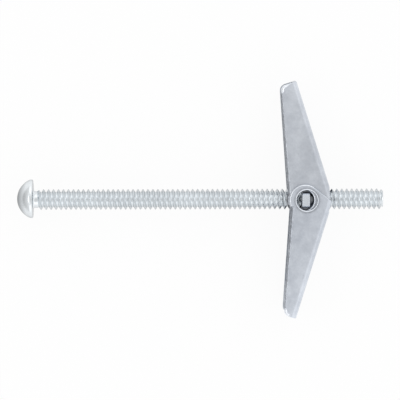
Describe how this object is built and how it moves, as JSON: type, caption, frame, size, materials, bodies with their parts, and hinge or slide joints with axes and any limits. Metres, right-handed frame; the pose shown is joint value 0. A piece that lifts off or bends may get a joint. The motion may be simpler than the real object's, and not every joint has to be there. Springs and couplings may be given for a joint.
{
  "type": "spring toggle bolt",
  "caption": "Round-head machine screw with a trunnion nut and spring-opened folding sheet-steel wings for hollow walls.",
  "frame": {"origin": "centre of the bearing face under the screw's head", "axes": "+X along the screw from its head to its tip, +Y towards the inner wing, +Z along the hinge axis, up from the surface it lies on"},
  "size_m": [0.0779, 0.0503, 0.0106],
  "materials": {
    "screw_zinc": "bright zinc plate on steel",
    "nut_zinc": "zinc plate on stamped steel",
    "wing_zinc": "satin zinc plate on folded sheet steel",
    "spring_wire": "drawn spring wire"
  },
  "bodies": {
    "screw": {"screw": "screw_zinc"},
    "nut": {"trunnion_nut": "nut_zinc", "torsion_spring": "spring_wire"},
    "inner_wing": {"inner_wing": "wing_zinc"},
    "outer_wing": {"outer_wing": "wing_zinc"}
  },
  "joints": [
    {"name": "toggle_travel", "type": "slide", "parent": "screw", "child": "nut", "axis": [1, 0, 0], "range_m": [-0.032, 0.0135]},
    {"name": "inner_wing_hinge", "type": "hinge", "parent": "nut", "child": "inner_wing", "pos_m": [0.05755, 0, 0], "axis": [0, 0, 1], "range_deg": [0, 79], "stiffness_Nm_per_rad": 0.02, "springref_deg": -28.65, "deforming": ["torsion_spring"]},
    {"name": "outer_wing_hinge", "type": "hinge", "parent": "nut", "child": "outer_wing", "pos_m": [0.0582, 0, 0], "axis": [0, 0, -1], "range_deg": [0, 77], "stiffness_Nm_per_rad": 0.02, "springref_deg": -28.65}
  ]
}
